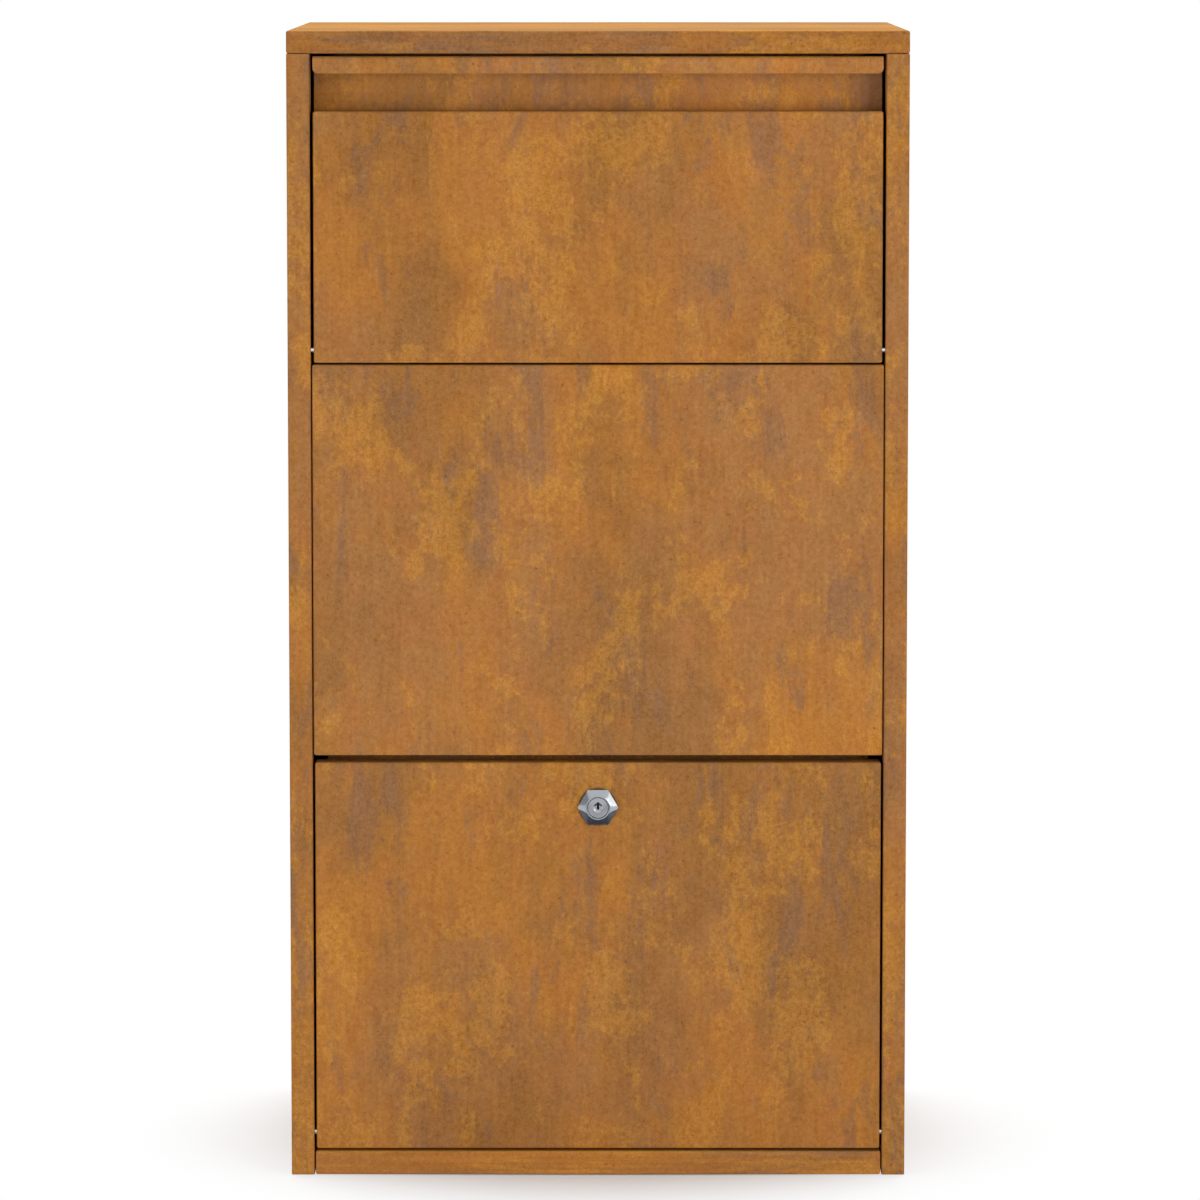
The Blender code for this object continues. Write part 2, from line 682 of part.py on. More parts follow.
def hopper_floor():
    """Sloping floor between the cheeks: parcels slide off it when the flap is shut."""
    surface = box_surface((-FLOOR_HALF, 0, 0), (FLOOR_HALF, FLOOR_LENGTH, FLOOR_SIDE), "-y +y +z")
    fold_on(surface, lambda p: near(p.y, FLOOR_LENGTH) and near(p.z, 0), (0, 0, -FLOOR_NOSE))
    leaf = Vector((0, -FLOOR_LEAF * math.cos(FLOOR_SLOPE), -FLOOR_LEAF * math.sin(FLOOR_SLOPE)))
    fold_on(surface, lambda p: near(p.y, 0) and near(p.z, 0), leaf)
    y, z = floor_start()
    place = Matrix.Translation((0, PIN_Y + y, FLAP_PIN_Z + z)) @ Matrix.Rotation(-FLOOR_SLOPE, 4, "X")
    bmesh.ops.transform(surface, matrix=place, verts=surface.verts)
    floor = folded_sheet("hopper_floor", surface, INNER_RUST, HOPPER_PIVOT)
    x = FLOOR_HALF - SHEET / 2
    flanges = [(side * x, y, z) for side in (-1, 1) for y, z in floor_rivet_places()]
    drill(floor, [(at, (1, 0, 0), RIVET_HOLE_RADIUS) for at in flanges])
    return floor


# Door and its lock
def door_panel():
    """Drop-down door: a shallow pan with a lip turned in behind."""
    low = (-DOOR_HALF, FRONT, DOOR_BOTTOM)
    high = (DOOR_HALF, FRONT + PANEL_DEPTH, DOOR_TOP)
    surface = box_surface(low, high)
    turn_in_lip(surface, "+y", DOOR_LIP)
    door = folded_sheet("door_panel", surface, RUST, DOOR_PIVOT)
    x = DOOR_HALF - SHEET / 2
    drill(door, [((side * x, PIN_Y, DOOR_PIN_Z), (1, 0, 0), HOLE_RADIUS) for side in (-1, 1)])
    drill(door, [((0, FRONT + SHEET / 2, LOCK_Z), (0, 1, 0), BARREL_RADIUS + SEAT)], segments=32)
    return door


def round_body(radius_back, radius_front, back, front, segments, spin=0.0):
    """A cone or prism along Z, from its back end to its front end."""
    surface = bmesh.new()
    place = Matrix.Translation((0, 0, (back + front) / 2)) @ Matrix.Rotation(spin, 4, "Z")
    bmesh.ops.create_cone(
        surface,
        cap_ends=True,
        segments=segments,
        radius1=radius_back,
        radius2=radius_front,
        depth=front - back,
        matrix=place,
    )
    return surface


def lock_tool(name, surface):
    """A helper body of the lock, turned so that its Z faces the front."""
    tool = add_cutter(name, surface)
    tool.location = (0, FRONT, LOCK_Z)
    tool.rotation_euler = OUTLINE_IN_FRONT_PLANE
    return tool


def lock_piece(name, surface, material, pivot):
    mesh = bpy.data.meshes.new(name)
    surface.to_mesh(mesh)
    surface.free()
    obj = add_part(name, mesh, material)
    obj.location = (0, FRONT, LOCK_Z)
    obj.rotation_euler = OUTLINE_IN_FRONT_PLANE
    carry(obj, pivot)
    return obj


def across_corners(flats):
    return flats / math.sqrt(3)


def behind_front(y):
    """Height along the lock's own axis of a place given by its world y."""
    return FRONT - y


def lock_housing():
    """Six-sided tapered bezel with the barrel behind it, bored for the plug."""
    face = SEAT + BEZEL_HEIGHT
    skirt = SEAT + BEZEL_SKIRT
    quarter = math.pi / 2
    base_corner = across_corners(BEZEL_FLATS)
    surface = round_body(base_corner, across_corners(BEZEL_FRONT), skirt, face, 6, quarter)
    housing = lock_piece("lock_housing", surface, CHROME, DOOR_PIVOT)
    skirt_body = round_body(base_corner, base_corner, SEAT, skirt + SEAT / 10, 6, quarter)
    combine(housing, lock_tool("bezel_skirt", skirt_body), "UNION")
    slope = (BEZEL_ROUND - BEZEL_FRONT) / 2 / (face - skirt)
    back_radius = BEZEL_ROUND / 2 + slope * BEZEL_SKIRT
    front_radius = BEZEL_FRONT / 2 - slope * CUT_OVERSHOOT
    rounding = round_body(back_radius, front_radius, SEAT / 2, face + CUT_OVERSHOOT, 48)
    combine(housing, lock_tool("bezel_rounding", rounding), "INTERSECT")
    back = behind_front(CAM_FRONT - SEAT)
    barrel = round_body(BARREL_RADIUS, BARREL_RADIUS, back, skirt, 32)
    combine(housing, lock_tool("barrel", barrel), "UNION")
    seat_depth = face - PLUG_FACE_DEPTH - PLUG_FACE_SINK - SEAT
    wide_bore = PLUG_FACE_RADIUS + SEAT
    counterbore = round_body(wide_bore, wide_bore, seat_depth, face + CUT_OVERSHOOT, 32)
    combine(housing, lock_tool("plug_seat", counterbore), "DIFFERENCE")
    bore_radius = PLUG_RADIUS + SEAT
    bore = round_body(bore_radius, bore_radius, back - CUT_OVERSHOOT, face, 32)
    combine(housing, lock_tool("plug_bore", bore), "DIFFERENCE")
    return housing


def lock_nut():
    """Nut on the barrel, tight against the inside of the door."""
    front = -SHEET - SEAT
    back = front - NUT_THICKNESS
    corner = across_corners(NUT_FLATS)
    surface = round_body(corner, corner, back, front, 6, math.pi / 2)
    nut = lock_piece("lock_nut", surface, CAM_STEEL, DOOR_PIVOT)
    bore_radius = BARREL_RADIUS + SEAT
    bore = round_body(bore_radius, bore_radius, back - CUT_OVERSHOOT, front + CUT_OVERSHOOT, 32)
    combine(nut, lock_tool("nut_bore", bore), "DIFFERENCE")
    return nut


def lock_plug():
    """Turned plug with a dished keyway in front and a square tail for the cam behind."""
    face = SEAT + BEZEL_HEIGHT - PLUG_FACE_SINK
    shoulder = face - PLUG_FACE_DEPTH
    back = behind_front(CAM_FRONT - SEAT)
    profile = [
        (0, face - PLUG_DISH_DEPTH),
        (PLUG_DISH_RADIUS * 0.6, face - PLUG_DISH_DEPTH),
        (PLUG_DISH_RADIUS, face),
        (PLUG_FACE_RADIUS - PLUG_FACE_SINK, face),
        (PLUG_FACE_RADIUS, face - PLUG_FACE_SINK),
        (PLUG_FACE_RADIUS, shoulder),
        (PLUG_RADIUS, shoulder),
        (PLUG_RADIUS, back),
        (0, back),
    ]
    plug = turned("lock_plug", profile, (0, FRONT, LOCK_Z), (0, -1, 0), PLUG_NICKEL, LOCK_PIVOT, 32)
    tail_end = behind_front(CAM_FRONT + CAM_THICKNESS - SEAT)
    tail = box_surface(
        (-TAIL_SQUARE / 2, -TAIL_SQUARE / 2, tail_end),
        (TAIL_SQUARE / 2, TAIL_SQUARE / 2, back + PLUG_FACE_DEPTH),
    )
    combine(plug, lock_tool("plug_tail", tail), "UNION")
    keyway = box_surface(
        (-KEYWAY_WIDTH / 2, KEYWAY_RAISE - KEYWAY_HEIGHT / 2, face - KEYWAY_DEPTH),
        (KEYWAY_WIDTH / 2, KEYWAY_RAISE + KEYWAY_HEIGHT / 2, face + CUT_OVERSHOOT),
    )
    combine(plug, lock_tool("keyway", keyway), "DIFFERENCE")
    screw_hole = CAM_SCREW_RADIUS + SEAT
    drilled = round_body(screw_hole, screw_hole, tail_end - CUT_OVERSHOOT, screw_tip() + SEAT, 16)
    combine(plug, lock_tool("tail_hole", drilled), "DIFFERENCE")
    return plug


def screw_tip():
    """How far forward the cam screw reaches into the plug, along the lock's axis."""
    return behind_front(CAM_FRONT + CAM_THICKNESS + WASHER_THICKNESS + 2 * SEAT) + CAM_SCREW_LENGTH


def lock_cam():
    """Cam arm that points to the left when the door is unlocked."""
    half = CAM_WIDTH / 2
    eye_meets_arm = math.asin(half / CAM_EYE_RADIUS)
    outline = arc(CAM_EYE_RADIUS, eye_meets_arm - math.pi, math.pi - eye_meets_arm, 20)
    outline += arc(half, math.pi / 2, math.pi * 1.5, 10, (half - CAM_LENGTH, 0))
    square = TAIL_SQUARE / 2 + SEAT
    hole = [(-square, -square), (-square, square), (square, square), (square, -square)]
    at = (0, CAM_FRONT + CAM_THICKNESS / 2, LOCK_Z)
    return flat_plate(
        "lock_cam", outline, CAM_THICKNESS, at, OUTLINE_IN_FRONT_PLANE, CAM_STEEL, LOCK_PIVOT, hole
    )


def cam_washer():
    inner = CAM_SCREW_RADIUS + SEAT
    profile = [(inner, 0), (WASHER_RADIUS, 0), (WASHER_RADIUS, -WASHER_THICKNESS), (inner, -WASHER_THICKNESS)]
    at = (0, CAM_FRONT + CAM_THICKNESS + SEAT, LOCK_Z)
    return turned("cam_washer", profile, at, (0, -1, 0), CAM_STEEL, LOCK_PIVOT, 24, closed=True)


def cam_screw():
    """Pan-head screw that holds the cam on the plug's tail."""
    r, h = CAM_SCREW_HEAD_RADIUS, CAM_SCREW_HEAD_HEIGHT
    profile = [(0, h), (r * 0.6, h), (r * 0.9, h * 0.75), (r, h * 0.35), (r, 0)]
    profile += [(CAM_SCREW_RADIUS, 0), (CAM_SCREW_RADIUS, -CAM_SCREW_LENGTH), (0, -CAM_SCREW_LENGTH)]
    at = (0, CAM_FRONT + CAM_THICKNESS + WASHER_THICKNESS + 2 * SEAT, LOCK_Z)
    return turned("cam_screw", profile, at, (0, 1, 0), CAM_STEEL, LOCK_PIVOT, 16)


# Hinge pins, clips and rivets
def hinge_pin(name, side, z, inner_x):
    """Headed pin through the post's return: its head is inside the post and its tail past inner_x."""
    start = OPENING_HALF + SHEET + SEAT
    length = start - inner_x + SEAT + CLIP_THICKNESS + PIN_TAIL
    rim = PIN_HEAD_HEIGHT / 4
    profile = [
        (0, PIN_HEAD_HEIGHT),
        (PIN_HEAD_RADIUS - rim, PIN_HEAD_HEIGHT),
        (PIN_HEAD_RADIUS, PIN_HEAD_HEIGHT - rim),
        (PIN_HEAD_RADIUS, 0),
        (PIN_RADIUS, 0),
        (PIN_RADIUS, rim - length),
        (PIN_RADIUS - rim, -length),
        (0, -length),
    ]
    return turned(name, profile, (side * start, PIN_Y, z), (side, 0, 0), ZINC)


def pin_clip(name, side, z, inner_x):
    """Push-on clip that keeps the pin in place."""
    bore = HOLE_RADIUS
    profile = [(bore, 0), (CLIP_RADIUS, 0), (CLIP_RADIUS, -CLIP_THICKNESS), (bore, -CLIP_THICKNESS)]
    return turned(name, profile, (side * (inner_x - SEAT), PIN_Y, z), (side, 0, 0), ZINC, closed=True)


def rivet(name, at, direction, stack, pivot=None):
    """Blind rivet: its domed head faces direction, and stack is what it clamps."""
    grip = stack + 2 * SEAT
    r, h = RIVET_HEAD_RADIUS, RIVET_HEAD_HEIGHT
    tail, bulge = RIVET_TAIL_RADIUS, RIVET_TAIL_HEIGHT
    profile = [(0, h), (r * 0.7, h * 0.75), (r, 0), (RIVET_RADIUS, 0), (RIVET_RADIUS, -grip)]
    profile += [(tail, -grip), (tail, -grip - bulge * 0.6), (0, -grip - bulge)]
    return turned(name, profile, at, direction, RIVET_STEEL, pivot, 12)


def fasteners():
    two_sheets = 2 * SHEET
    for side_name, side in SIDES.items():
        cheek_inner = CHEEK_OUTER - SHEET
        door_inner = DOOR_HALF - SHEET
        hinge_pin(f"flap_hinge_pin_{side_name}", side, FLAP_PIN_Z, cheek_inner)
        pin_clip(f"flap_hinge_clip_{side_name}", side, FLAP_PIN_Z, cheek_inner)
        hinge_pin(f"door_hinge_pin_{side_name}", side, DOOR_PIN_Z, door_inner)
        pin_clip(f"door_hinge_clip_{side_name}", side, DOOR_PIN_Z, door_inner)
        for i, z in enumerate(middle_rivet_heights()):
            at = (side * (MIDDLE_HALF - SHEET - SEAT), middle_rivet_y(), z)
            stack = two_sheets + MIDDLE_SIDE_GAP
            rivet(f"middle_rivet_{side_name}_{i + 1}", at, (-side, 0, 0), stack)
        for i, (y, z) in enumerate(flap_rivet_places()):
            at = (side * (FLAP_HALF + SEAT), y, z)
            rivet(f"flap_rivet_{side_name}_{i + 1}", at, (side, 0, 0), two_sheets + SEAT, HOPPER_PIVOT)
        for i, (y, z) in enumerate(floor_rivet_places()):
            at = (side * (FLOOR_HALF - SHEET - SEAT), y, z)
            rivet(f"floor_rivet_{side_name}_{i + 1}", at, (-side, 0, 0), two_sheets + SEAT, HOPPER_PIVOT)
    for i, (x, z) in enumerate(strike_rivet_places()):
        at = (x, STRIKE_FRONT + STRIKE_THICKNESS + SEAT, z)
        rivet(f"strike_rivet_{i + 1}", at, (0, 1, 0), SHEET + SEAT + STRIKE_THICKNESS)
    for i, (x, z) in enumerate(rail_rivet_places()):
        at = (x, BASE_FRONT + SHEET + SEAT, z)
        rivet(f"rail_rivet_{i + 1}", at, (0, 1, 0), two_sheets + SEAT)


def build():
    for side_name, side in SIDES.items():
        side_panel(side_name, side)
        hopper_cheek(side_name, side)
    back_panel()
    top_cap()
    base_rail()
    base_plate()
    base_angle()
    middle_panel()
    strike_bar()
    stop_rail()
    baffle()
    hopper_flap()
    hopper_floor()
    door_panel()
    lock_housing()
    lock_nut()
    lock_plug()
    lock_cam()
    cam_washer()
    cam_screw()
    fasteners()


build()
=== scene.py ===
"""Looks of the rusted parcel letterbox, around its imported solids. Metres, +Z up, the front faces -Y."""

import json
import math

import bpy
from mathutils import Euler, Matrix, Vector


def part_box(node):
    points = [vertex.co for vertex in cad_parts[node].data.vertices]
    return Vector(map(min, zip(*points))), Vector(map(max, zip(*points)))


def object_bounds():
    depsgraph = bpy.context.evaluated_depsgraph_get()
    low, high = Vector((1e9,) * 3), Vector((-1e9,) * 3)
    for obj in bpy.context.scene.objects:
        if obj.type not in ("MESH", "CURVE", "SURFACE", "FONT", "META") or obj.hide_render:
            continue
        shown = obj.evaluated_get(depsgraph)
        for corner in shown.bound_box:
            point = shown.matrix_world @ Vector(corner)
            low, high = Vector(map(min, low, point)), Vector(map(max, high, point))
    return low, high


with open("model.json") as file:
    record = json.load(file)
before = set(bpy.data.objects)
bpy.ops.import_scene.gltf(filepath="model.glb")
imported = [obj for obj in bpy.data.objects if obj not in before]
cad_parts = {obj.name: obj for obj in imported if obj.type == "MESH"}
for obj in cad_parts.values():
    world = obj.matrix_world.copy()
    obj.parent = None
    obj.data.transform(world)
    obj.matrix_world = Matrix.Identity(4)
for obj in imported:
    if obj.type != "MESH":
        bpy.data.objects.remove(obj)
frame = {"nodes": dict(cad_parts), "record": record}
CAD_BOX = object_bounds()
CAD_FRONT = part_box("door_panel")[0].y
LOCK_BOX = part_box("lock_housing")
LOCK_MIDDLE = (LOCK_BOX[0] + LOCK_BOX[1]) / 2
LOCK_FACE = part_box("lock_plug")[0].y

# Camera, opposite the front and a little higher than the top
CAMERA_DISTANCE = 4.4
CAMERA_X = 0.0033
CAMERA_Z = 0.8812
CAMERA_PITCH = math.radians(6.168)
CAMERA_YAW = math.radians(0.025)
CAMERA_LENS = 190.97
CAMERA_SENSOR = 36.0
CAMERA_FAR = 50

# Room: the world's strength, and each lamp's watts, size, place and aim
WORLD_LIGHT = 0.22
LAMPS = {
    "overhead": (330, (4.0, 4.0), (0, 1.2, 5.0), (0, 0, 0.5)),
    "left_fill": (67, (2.4, 2.4), (-2.4, -3.2, 0.4), (0, 0, 0.3)),
    "right_fill": (67, (2.4, 2.4), (2.4, -3.0, 0.9), (0, 0, 0.3)),
    "right_glint": (3, (1.0, 1.0), (2.24, -1.15, 1.21), (0, -0.17, 0.26)),
}
# The lamp that does nothing but show in reflections, and all the lamps that show there
GLINT_LAMP = "right_glint"
REFLECTED_LAMPS = ("left_fill", "right_fill", GLINT_LAMP)
# The grey card and the dark mat that only reflections show, and the floor
CARD_SIZE = 1.8
CARD_PLACE = Vector((-1.95, -1.85, 0.95))
MAT_SIZE = (0.88, 1.3)
MAT_GAP = 0.01
MAT_RISE = 0.002
FLOOR_HALF = 12.0
FLOOR_DROP = 0.0005
# How far from its middle the floor starts to turn white, and from where it is all white
FLOOR_SHADOW_REACH = (0.12, 0.36)


def srgb(red, green, blue):
    """A colour from its 0 to 255 values as seen on a screen."""
    screen = [level / 255 for level in (red, green, blue)]
    linear = [v / 12.92 if v <= 0.04045 else ((v + 0.055) / 1.055) ** 2.4 for v in screen]
    return (*linear, 1.0)


WHITE = srgb(255, 255, 255)
FLOOR_PALE = srgb(240, 240, 240)
CARD_GREY = srgb(140, 142, 148)
MAT_DARK = srgb(100, 104, 116)
# Painted shade: the shadow round the lock's bezel and the shade deep in its keyway
PAINTED_SHADE_COLOUR = srgb(44, 36, 32)
PIN_STEEL = srgb(232, 230, 226)
LOCK_CHROME = srgb(170, 174, 178)
LOCK_NICKEL = srgb(174, 176, 180)
CAM_STEEL = srgb(190, 188, 180)

# The rust's noises: how far each is drawn out along the streaks, its scale, detail and roughness,
# and for some its distortion
STREAKED_NOISES = {
    "patches": (1.6, 16.0, 9.0, 0.74, 0.25),
    "blotches": (1.3, 46.0, 7.0, 0.84, 0.3),
    "saturation": (2.2, 13.0, 7.0, 0.62),
    "smudges": (3.2, 30.0, 9.0, 0.74, 0.3),
    "tint": (1.6, 45.0, 3.0, 0.60),
    "clouds": (2.0, 9.0, 5.0, 0.70),
    "mottle": (1.4, 60.0, 4.0, 0.85),
    "brushing": (12.0, 300.0, 2.0, 0.6),
}
# Its noises that the streaks don't draw out: scale, detail and roughness
EVEN_NOISES = {
    "grain": (380.0, 2.0, 0.95),
    "specks": (420.0, 2.0, 0.5),
}
# The flecks are patches in this share, and blotches for the rest
PATCH_SHARE = 0.6
# The shades of rust over the grey, in the order in which they lie: the noise that each follows,
# the levels of it between which the shade comes in, its strength and its colour
RUST_GREY = srgb(156, 107, 59)
RUST_SHADES = {
    "orange": ("saturation", (0.40, 0.60), 1.0, srgb(171, 112, 46)),
    "red": ("tint", (0.36, 0.66), 0.35, srgb(162, 99, 51)),
    "brown": ("clouds", (0.54, 0.38), 0.50, srgb(136, 95, 50)),
    "ochre": ("flecks", (0.515, 0.550), 0.44, srgb(190, 131, 53)),
    "slate": ("smudges", (0.535, 0.625), 0.52, srgb(126, 93, 70)),
    "speck": ("specks", (0.66, 0.76), 0.5, srgb(100, 66, 40)),
}
# How far the dark runs reach down from a sheet's upper edge, and how much they add to the smudges
RUN_LENGTH = 0.12
RUN_STRENGTH = 0.04
# A noise's middle value, and how much each noise changes the rust's brightness from end to end
NOISE_MIDDLE = 0.5
CLOUD_DEPTH = 0.5
BRUSHING_DEPTH = 0.25
MOTTLE_DEPTH = 0.2
GRAIN_DEPTH = 0.70
OCHRE_GRAIN_DEPTH = 0.2
# How much the fine noises change red, green and blue, so that the grain is grey and not brown
FINE_SHARES = (1.0, 1.4, 2.4)
# How much more red, green and blue show where a sheet looks up: painted top light, brighter and more golden
# on upward faces
TOP_LIGHT_SHARES = (0.25, 0.36, 0.14)
TOP_LIGHT_SLOPES = (0.5, 0.9)
# Painted light on the flap: up from the foot of its pull channel, and most on the channel's back,
# which lies this far behind the front
CHANNEL_LIGHT_FROM = 0.7440
CHANNEL_LIGHT_BLEND = 0.003
CHANNEL_DEPTHS = (0.005, 0.015)
LIP_PAINTED_LIGHT = 0.10
CHANNEL_PAINTED_LIGHT = 0.13
# How little the rust shines: its specular level, and its roughness, with what ochre and mottle add to it
RUST_SPECULAR = 0.15
RUST_ROUGHNESS = 0.66
OCHRE_ROUGHNESS = 0.14
MOTTLE_ROUGHNESS = 0.10
# Its relief: what grain and mottle add to it, its strength and its height
GRAIN_RELIEF = 0.5
MOTTLE_RELIEF = 0.5
RELIEF_STRENGTH = 0.2
RELIEF_HEIGHT = 0.0004

# Metal: its dust and scratches as scale, detail and roughness of a noise, and the scale of its waves
DUST_NOISE = (300.0, 4.0, 0.6)
DUST_LEVELS = (0.45, 0.75)
DUST_SHADE = 0.6
DUST_ROUGHNESS = 0.08
SCRATCH_NOISE = (2500.0, 2.0, 0.5)
SCRATCH_STRETCH = (1, 1, 0.05)
SCRATCH_ROUGHNESS = 0.05
WAVE_SCALE = 90.0

# The lock: how deep its face is dished, and over what depth the keyway behind the dish turns to painted shade
DISH_DEPTH = 0.0010
KEYWAY_SHADE_DEPTH = 0.0008
# Where its keyway is, and where a painted shadow lies on the door round its bezel, a little up and to the
# left:
# each as a middle and a reach, with the share of the reach from which both fade
KEYWAY = ((LOCK_MIDDLE.x, 0, LOCK_MIDDLE.z), 0.0062)
BEZEL_SHADOW_SHIFT = 0.0003
BEZEL_SHADOW = ((LOCK_MIDDLE.x - BEZEL_SHADOW_SHIFT, 0, LOCK_MIDDLE.z + BEZEL_SHADOW_SHIFT), 0.0138)
BEZEL_SHADOW_STRENGTH = 0.7
SOFT_EDGE_FROM = 0.92
# The rounding of its bezel's edges
LOCK_ROUNDING = 0.0005
ROUNDING_SEGMENTS = 2
SHARP_ANGLE = math.radians(20)
WELD_REACH = 0.00001


class Value:
    """A shader socket with arithmetic: an expression on values adds its Math nodes."""

    def __init__(self, look, socket):
        self.look = look
        self.socket = socket

    def math(self, operation, *others):
        """A Math node of this value and the others."""
        return self.look.node("ShaderNodeMath", {"operation": operation}, dict(enumerate((self, *others))))

    def __add__(self, other):
        return self.math("ADD", other)

    def __radd__(self, other):
        return self.math("ADD", other)

    def __sub__(self, other):
        return self.math("SUBTRACT", other)

    def __rsub__(self, other):
        return self.look.node("ShaderNodeMath", {"operation": "SUBTRACT"}, {0: other, 1: self})

    def __mul__(self, other):
        return self.math("MULTIPLY", other)

    def __rmul__(self, other):
        return self.math("MULTIPLY", other)

    def between(self, low, high):
        """0 below low, 1 above high, and smooth in between. With low above high it runs the other way."""
        settings = {"interpolation_type": "SMOOTHSTEP"}
        sockets = {"Value": self, "From Min": low, "From Max": high}
        return self.look.node("ShaderNodeMapRange", settings, sockets, "Result")

    def swing(self, depth):
        """A noise as a change up and down, of depth from end to end."""
        return (self - NOISE_MIDDLE) * depth


class Tree:
    """A node tree, in which every node but the Math nodes of expressions is made by node()."""

    def __init__(self, tree):
        self.tree = tree

    def node(self, kind, settings=None, sockets=None, output=0):
        """Adds a node: settings first, then its sockets by name or number, each a number, colour or Value."""
        made = self.tree.nodes.new(kind)
        for key, value in (settings or {}).items():
            setattr(made, key, value)
        for key, value in (sockets or {}).items():
            if isinstance(value, Value):
                self.tree.links.new(value.socket, made.inputs[key])
            else:
                made.inputs[key].default_value = value
        return Value(self, made.outputs[output])

    def place(self, stretch=(1, 1, 1), shift=(0, 0, 0)):
        """Object coordinates in metres, times stretch and moved by shift."""
        here = self.node("ShaderNodeTexCoord", output="Object")
        return self.node(
            "ShaderNodeMapping",
            {"vector_type": "POINT"},
            {"Vector": here, "Location": shift, "Scale": stretch},
        )

    def along(self, axis):
        """The place along X, Y or Z in metres."""
        return self.node("ShaderNodeSeparateXYZ", None, {0: self.place()}, axis)

    def noise(self, place, scale, detail=4.0, roughness=0.5, distortion=0.0):
        sockets = {
            "Vector": place,
            "Scale": scale,
            "Detail": detail,
            "Roughness": roughness,
            "Distortion": distortion,
        }
        return self.node("ShaderNodeTexNoise", {"noise_dimensions": "3D"}, sockets, "Fac")

    def blend(self, amount, first, second, how="MIX"):
        """first where amount is 0 and second where it is 1: inputs 6 and 7 of a Mix node are its colours."""
        settings = {"data_type": "RGBA", "blend_type": how}
        return self.node("ShaderNodeMix", settings, {0: amount, 6: first, 7: second}, 2)

    def bump(self, height, strength, distance):
        """A normal for a relief in which a height of 1 stands for distance, in metres."""
        sockets = {"Strength": strength, "Distance": distance, "Height": height}
        return self.node("ShaderNodeBump", None, sockets, "Normal")


class Look(Tree):
    """One procedural material: set() feeds its Principled shader."""

    def __init__(self, name, **constants):
        self.material = bpy.data.materials.new(name)
        self.material.use_nodes = True
        super().__init__(self.material.node_tree)
        self.shader = self.tree.nodes["Principled BSDF"]
        for socket, value in constants.items():
            self.shader.inputs[socket.replace("_", " ")].default_value = value

    def set(self, **links):
        """Links values to the shader's sockets, whose names have _ for a space here."""
        for socket, value in links.items():
            self.tree.links.new(value.socket, self.shader.inputs[socket.replace("_", " ")])


def near(look, centre, reach):
    """1 round the line through centre that runs front to back, and 0 from reach on."""
    flat = look.place((1, 0, 1))
    away = look.node("ShaderNodeVectorMath", {"operation": "DISTANCE"}, {0: flat, 1: centre}, "Value")
    return away.between(reach, reach * SOFT_EDGE_FROM)


def rust_noises(look, shift, streaks_along, streakiness, top):
    """The noises that the rust follows, by name. Below top, the sheet's upper edge, run dark smudges."""
    axis = "xyz".index(streaks_along)
    noises = {}
    for kind, (draw_out, *settings) in STREAKED_NOISES.items():
        stretch = [1.0, 1.0, 1.0]
        stretch[axis] /= draw_out * streakiness
        noises[kind] = look.noise(look.place(stretch, shift), *settings)
    for kind, settings in EVEN_NOISES.items():
        noises[kind] = look.noise(look.place(shift=shift), *settings)
    noises["flecks"] = noises["patches"] * PATCH_SHARE + noises["blotches"] * (1.0 - PATCH_SHARE)
    if top is not None:
        runs = look.along("Z").between(top - RUN_LENGTH, top)
        noises["smudges"] = noises["smudges"] + runs * RUN_STRENGTH
    return noises


def painted_channel_light(look):
    """How much brighter the flap's lip and pull channel are painted, as painted light against their shade."""
    raised = look.along("Z").between(CHANNEL_LIGHT_FROM, CHANNEL_LIGHT_FROM + CHANNEL_LIGHT_BLEND)
    deep = look.along("Y").between(*(CAD_FRONT + depth for depth in CHANNEL_DEPTHS))
    return raised * (LIP_PAINTED_LIGHT + deep * CHANNEL_PAINTED_LIGHT)


def rust_look(name, shift, streaks_along="z", tone=1.0, streakiness=1.0, top=None, painted_shade=None, paints_channel_light=False):
    """Dry rust on sheet steel: clouds and flecks, streaks and brushing along one axis, grain and specks.

    shift says which cut of the rust it is and top is the height from which dark runs hang. The next
    argument is the middle and reach of a painted shadow, and the last one adds painted light to the flap.
    """
    look = Look(name, Metallic=0.0, Specular_IOR_Level=RUST_SPECULAR)
    noises = rust_noises(look, shift, streaks_along, streakiness, top)
    base = RUST_GREY
    shades = {}
    for shade, (kind, levels, strength, colour) in RUST_SHADES.items():
        shades[shade] = noises[kind].between(*levels)
        base = look.blend(shades[shade] * strength, base, colour)
    # Painted shadow round the lock's bezel, darkest a little up and to the left
    if painted_shade:
        base = look.blend(near(look, *painted_shade) * BEZEL_SHADOW_STRENGTH, base, PAINTED_SHADE_COLOUR)
    broad = tone + noises["clouds"].swing(CLOUD_DEPTH)
    # Painted light on the flap's lip and in its pull channel
    if paints_channel_light:
        broad = broad + painted_channel_light(look)
    fine = noises["brushing"].swing(BRUSHING_DEPTH * math.sqrt(streakiness))
    fine = fine + noises["mottle"].swing(MOTTLE_DEPTH)
    fine = fine + noises["grain"].swing(GRAIN_DEPTH + shades["ochre"] * OCHRE_GRAIN_DEPTH)
    # Painted top light: faces that look up turn brighter and more golden
    facing = look.node("ShaderNodeTexCoord", output="Normal")
    upward = look.node("ShaderNodeSeparateXYZ", None, {0: facing}, "Z").between(*TOP_LIGHT_SLOPES)
    brightness = {
        channel: (broad + fine * share) * (1.0 + upward * top_light)
        for channel, (share, top_light) in enumerate(zip(FINE_SHARES, TOP_LIGHT_SHARES))
    }
    base = look.blend(1.0, base, look.node("ShaderNodeCombineColor", None, brightness), "MULTIPLY")
    roughness = RUST_ROUGHNESS + shades["ochre"] * OCHRE_ROUGHNESS + noises["mottle"] * MOTTLE_ROUGHNESS
    relief = noises["grain"] * GRAIN_RELIEF + noises["mottle"] * MOTTLE_RELIEF
    look.set(Base_Color=base, Roughness=roughness, Normal=look.bump(relief, RELIEF_STRENGTH, RELIEF_HEIGHT))
    return look.material


